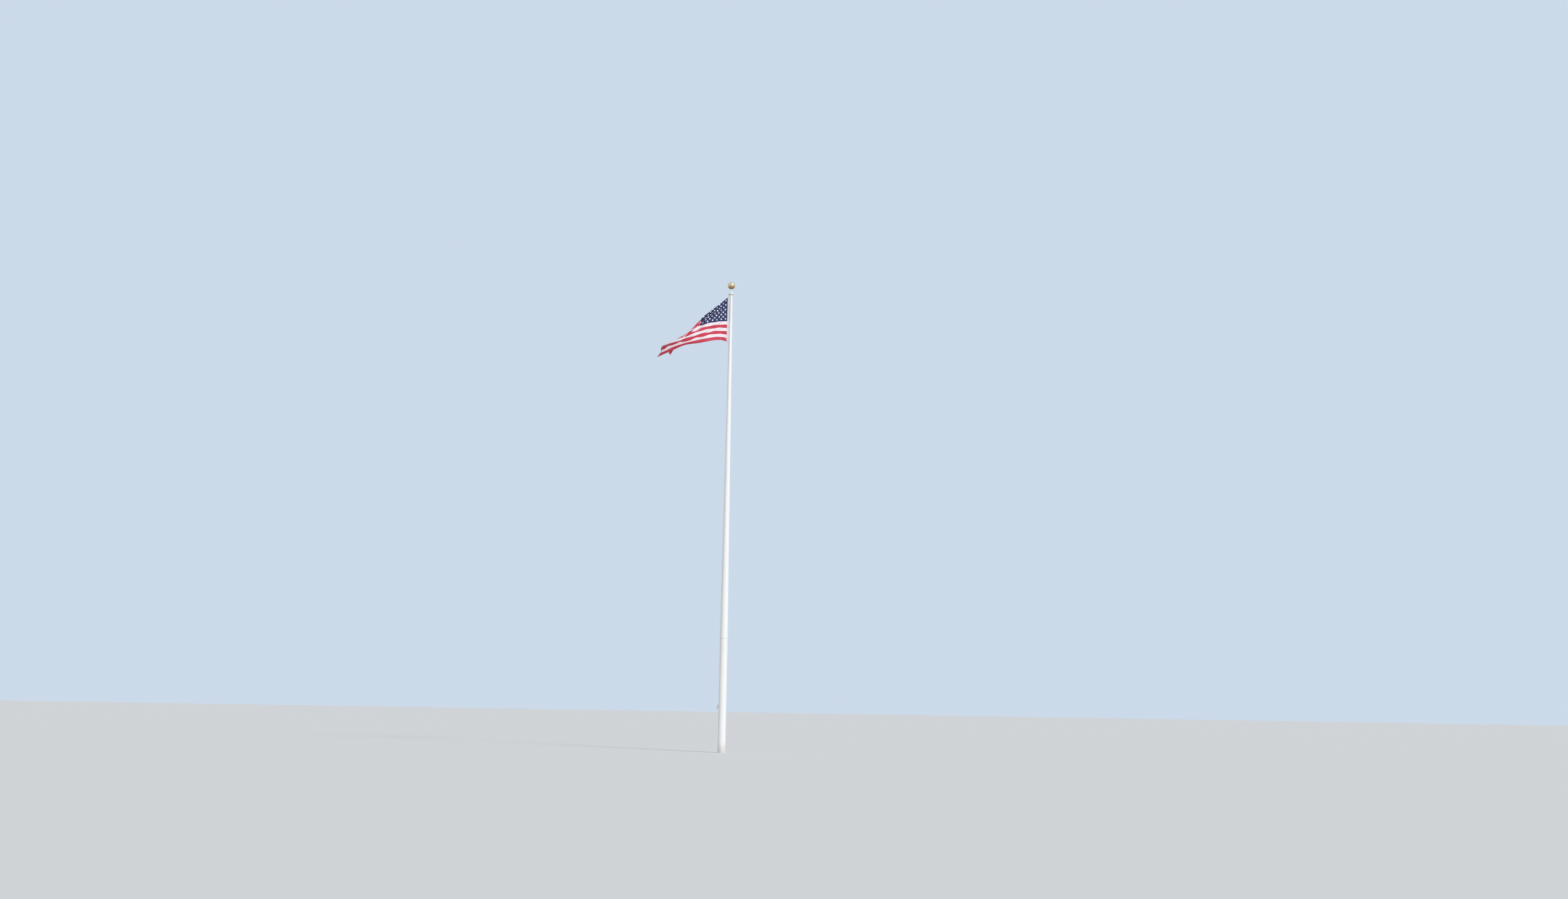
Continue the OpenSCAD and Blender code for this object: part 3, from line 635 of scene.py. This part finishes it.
def bend_to(side, end):
    """From a fall's end, on along it and round to a point behind the horn."""
    start, knee = fall_point(side, FALL_LENGTH), fall_point(side, FALL_LENGTH + KNEE_BELOW)
    shares = [k / BEND_STEPS for k in range(BEND_STEPS + 1)]
    return [start * (1 - t) ** 2 + knee * (2 * t * (1 - t)) + end * t ** 2 for t in shares]


def hitch_path():
    """From the flag's fall, behind the upper horn, through the eights and back to the return fall."""
    lead = Vector((LEAD_X, GUIDE_Y, GUIDE_Z))
    tail = Vector((TAIL_X, -GUIDE_Y, GUIDE_Z))
    eights = [eight_point(k / EIGHT_STEPS) for k in range(1, EIGHT_STEPS * HITCH_TURNS)]
    return smooth_path([*bend_to(1, lead), *eights, *reversed(bend_to(-1, tail))], HITCH_STEP)


def add_halyard():
    """One endless rope: over the sheave, down to the cleat, round its horns, and back up the return fall."""
    first = [over_sheave(pi / 2 * k / SHEAVE_STEPS) for k in range(SHEAVE_STEPS)]
    fall = [fall_point(1, FALL_LENGTH * k / FALL_STEPS) for k in range(FALL_STEPS)]
    back = [fall_point(-1, FALL_LENGTH * k / FALL_STEPS) for k in range(FALL_STEPS - 1, 0, -1)]
    last = [over_sheave(pi / 2 * (k / SHEAVE_STEPS - 1)) for k in range(SHEAVE_STEPS)]
    # The tube's two ends meet at the sheave's top, a hundredth of a radian apart
    path = np.array([tuple(p) for p in (*first, *fall, *hitch_path(), *back, *last, over_sheave(-0.01))])
    rope = rope_piece("halyard", path)
    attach(rope, "mast")
    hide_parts("halyard_over_sheave", "halyard_flag_fall", "halyard_return_fall", "halyard_on_cleat")


add_halyard()


# The flag's drape

CLOTH_THICKNESS = 0.0012
WIND = 1500
WIND_DEGREES = 63
LEAD_FRAMES = 45
SETTLE_FRAMES = 10
LAST_FRAME = LEAD_FRAMES + SETTLE_FRAMES
FIRST_WAVE = 0.02

# Where the fly edge is led to: v in metres, then the place from the cloth's top corner by the heading
FLY_EDGE = (
    (1.829, (-2.77, -0.45, -2.66)),
    (1.6, (-2.60, -0.46, -2.52)),
    (1.45, (-2.52, -0.50, -2.40)),
    (1.2, (-2.57, -0.38, -2.22)),
    (1.05, (-2.54, -0.28, -2.12)),
    (0.75, (-2.45, -0.12, -2.32)),
    (0.4, (-2.42, 0.05, -2.20)),
    (0.0, (-2.25, 0.12, -2.42)),
)

# Outer half drawn together round one line of the cloth, most of all at one distance from the heading
GATHER_MOST = 0.43
GATHER_AT = 2.35
GATHER_REACH = 0.68
GATHER_LINE = 1.5
PLEAT_PITCH = 0.40
PLEAT_FILL = 0.8
PLEATS_BACK = 0.6
PLEATS_END = 0.5


def fly_place(v):
    for (below, low), (above, high) in zip(FLY_EDGE, FLY_EDGE[1:]):
        if v >= above:
            return Vector(low).lerp(Vector(high), (below - v) / (below - above))
    return Vector(FLY_EDGE[-1][1])


def grid_index(i, j, rows):
    return i * (rows + 1) + j


def grid_faces(columns, rows):
    """The four corners of each cell, as columns and rows."""
    return [((i, j), (i, j + 1), (i + 1, j + 1), (i + 1, j)) for i in range(columns) for j in range(rows)]


def cut_cloth(columns, rows):
    """The flat cloth, with its heading and fly held, and a shape key that leads the fly into the tail."""
    points = []
    for i in range(columns + 1):
        for j in range(rows + 1):
            x, z = -FLAG_FLY * i / columns, -FLAG_HOIST * j / rows
            points.append((x, FIRST_WAVE * sin(6 * x + 2 * z) * min(1, -x / 0.3), z))
    faces = [[grid_index(*corner, rows) for corner in cell] for cell in grid_faces(columns, rows)]
    mesh = bpy.data.meshes.new("cut")
    mesh.from_pydata(points, [], faces)
    cut = bpy.data.objects.new("cut", mesh)
    bpy.context.scene.collection.objects.link(cut)
    held = cut.vertex_groups.new(name="held")
    held.add([grid_index(i, j, rows) for i in (0, columns) for j in range(rows + 1)], 1.0, "REPLACE")
    cut.shape_key_add(name="flat")
    led = cut.shape_key_add(name="gather")
    for j in range(rows + 1):
        led.data[grid_index(columns, j, rows)].co = fly_place(FLAG_HOIST * j / rows)
    led.value = 0.0
    led.keyframe_insert("value", frame=1)
    led.value = 1.0
    led.keyframe_insert("value", frame=LEAD_FRAMES)
    return cut


def set_cloth(cut):
    """Light nylon that neither hits itself nor anything else."""
    cloth = cut.modifiers.new("cloth", "CLOTH")
    cloth.collision_settings.use_self_collision = False
    cloth.collision_settings.use_collision = False
    cloth.point_cache.frame_start = 1
    cloth.point_cache.frame_end = LAST_FRAME
    setting = cloth.settings
    setting.vertex_group_mass = "held"
    setting.mass = 0.05
    setting.quality = 6
    setting.tension_stiffness = 15
    setting.compression_stiffness = 15
    setting.shear_stiffness = 0.4
    setting.bending_stiffness = 0.3
    setting.air_damping = 1


def add_wind():
    """A steady level wind that blows to the left and towards the photo's viewer."""
    wind = bpy.data.objects.new("wind", None)
    bpy.context.scene.collection.objects.link(wind)
    for other in bpy.context.selected_objects:
        other.select_set(False)
    bpy.context.view_layer.objects.active = wind
    wind.select_set(True)
    bpy.ops.object.forcefield_toggle()
    wind.field.type = "WIND"
    wind.field.strength = WIND
    wind.field.flow = 1.0
    wind.field.noise = 0.0
    blows = Vector((-cos(radians(WIND_DEGREES)), -sin(radians(WIND_DEGREES)), 0))
    wind.rotation_mode = "QUATERNION"
    wind.rotation_quaternion = Vector((0, 0, 1)).rotation_difference(blows)
    return wind


def fly_the_flag(columns, rows):
    """The cloth's points after the wind has filled it while its fly edge is led into a gathered tail."""
    scene = bpy.context.scene
    cut = cut_cloth(columns, rows)
    set_cloth(cut)
    scene.frame_start = 1
    scene.frame_end = LAST_FRAME
    wind = add_wind()
    for n in range(1, LAST_FRAME + 1):
        scene.frame_set(n)
    flown = cut.evaluated_get(bpy.context.evaluated_depsgraph_get()).to_mesh()
    points = np.empty(len(flown.vertices) * 3)
    flown.vertices.foreach_get("co", points)
    for gone in (cut, wind):
        bpy.data.objects.remove(gone)
    scene.frame_set(1)
    return points.reshape(columns + 1, rows + 1, 3)


def gather(points, columns, rows):
    """Draws the outer half together, with the spare width in pleats that run along the pull."""
    u = FLAG_FLY * np.arange(columns + 1)[:, None] / columns
    v = FLAG_HOIST * np.arange(rows + 1)[None, :] / rows
    share = 1 - GATHER_MOST * np.exp(-((u - GATHER_AT) / GATHER_REACH) ** 2)
    line = points[:, round(GATHER_LINE / FLAG_HOIST * rows)][:, None]
    drawn = line + (points - line) * np.stack([share, np.ones_like(share), share], axis=-1)
    fading = np.clip((FLAG_FLY - u) / PLEATS_END, 0, 1)
    depth = PLEAT_FILL * PLEAT_PITCH * share / pi * np.sqrt(1 / share - 1) * fading
    wander = 1.1 * np.sin(1.9 * u) + 0.5 * np.sin(4.3 * u + 3 * v)
    rise = depth * (np.sin(2 * pi * v / PLEAT_PITCH + wander) - PLEATS_BACK)
    normals = np.cross(np.gradient(drawn, axis=0), np.gradient(drawn, axis=1))
    normals /= np.linalg.norm(normals, axis=2)[:, :, None]
    return drawn + normals * rise[:, :, None]


def add_flag():
    columns, rows = ((116, 61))
    points = gather(fly_the_flag(columns, rows), columns, rows)
    leaning = Matrix.Translation(HEADING_TOP) @ Matrix.Rotation(FALL_LEAN, 4, "Y")
    place = leaning @ Matrix.Translation((CLOTH_LAP - HEADING_OUTER, 0, 0))
    faces, uv = [], []
    for cell in grid_faces(columns, rows):
        faces.append([grid_index(*corner, rows) for corner in cell])
        uv += [(FLAG_FLY * i / columns, FLAG_HOIST * j / rows) for i, j in cell]
    flag = new_piece("flag", [place @ Vector(p) for p in points.reshape(-1, 3)], faces, "flag_cloth", uv)
    smooth = flag.modifiers.new("smooth", "SUBSURF")
    smooth.levels = smooth.render_levels = 1
    thick = flag.modifiers.new("thick", "SOLIDIFY")
    thick.thickness = CLOTH_THICKNESS
    thick.offset = 0.0
    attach(flag, "flag")
    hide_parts("flag_cloth")


add_flag()


# Floor, light and backdrop

FLOOR_HALF = 3000
FLOOR_COLOUR = (0.85, 0.875, 0.9)
SKY_COLOUR = (0.60, 0.70, 0.82, 1)
SOFT_COLOUR = (1.0, 1.0, 1.0, 1)
SOFT_STRENGTH = 0.45
SUN_STRENGTH = 1.9
SUN_WAY = Vector((-0.5, 0.72, -0.48))
SUN_DEGREES = 12


def add_floor():
    corners = [(x * FLOOR_HALF, y * FLOOR_HALF, 0) for x, y in ((-1, -1), (1, -1), (1, 1), (-1, 1))]
    mesh = bpy.data.meshes.new("floor")
    mesh.from_pydata(corners, [], [(0, 1, 2, 3)])
    floor = bpy.data.objects.new("floor", mesh)
    bpy.context.scene.collection.objects.link(floor)
    look = Look("floor", FLOOR_COLOUR, 0.9, Specular_IOR_Level=0.1)
    mesh.materials.append(look.done())


def add_background(tree, colour, strength):
    background = tree.nodes.new("ShaderNodeBackground")
    background.inputs[0].default_value = colour
    background.inputs[1].default_value = strength
    return background.outputs[0]


def add_world():
    """Soft white light, and a sky that only the camera, reflections and glass see."""
    world = bpy.data.worlds.new("world")
    bpy.context.scene.world = world
    world.use_nodes = True
    tree = world.node_tree
    tree.nodes.clear()
    output = tree.nodes.new("ShaderNodeOutputWorld")
    soft = add_background(tree, SOFT_COLOUR, SOFT_STRENGTH)
    shown = add_background(tree, SKY_COLOUR, 1.0)
    path = tree.nodes.new("ShaderNodeLightPath")
    seen = path.outputs["Is Camera Ray"]
    for ray in ("Is Glossy Ray", "Is Transmission Ray"):
        total = tree.nodes.new("ShaderNodeMath")
        total.operation = "ADD"
        total.use_clamp = True
        tree.links.new(seen, total.inputs[0])
        tree.links.new(path.outputs[ray], total.inputs[1])
        seen = total.outputs[0]
    either = tree.nodes.new("ShaderNodeMixShader")
    tree.links.new(seen, either.inputs[0])
    tree.links.new(soft, either.inputs[1])
    tree.links.new(shown, either.inputs[2])
    tree.links.new(either.outputs[0], output.inputs[0])


def add_sun():
    data = bpy.data.lights.new("sun", "SUN")
    data.energy = SUN_STRENGTH
    data.angle = radians(SUN_DEGREES)
    sun = bpy.data.objects.new("sun", data)
    sun.rotation_mode = "QUATERNION"
    sun.rotation_quaternion = Vector((0, 0, -1)).rotation_difference(SUN_WAY)
    bpy.context.scene.collection.objects.link(sun)


add_floor()
add_world()
add_sun()
bpy.context.scene.view_settings.view_transform = "Standard"
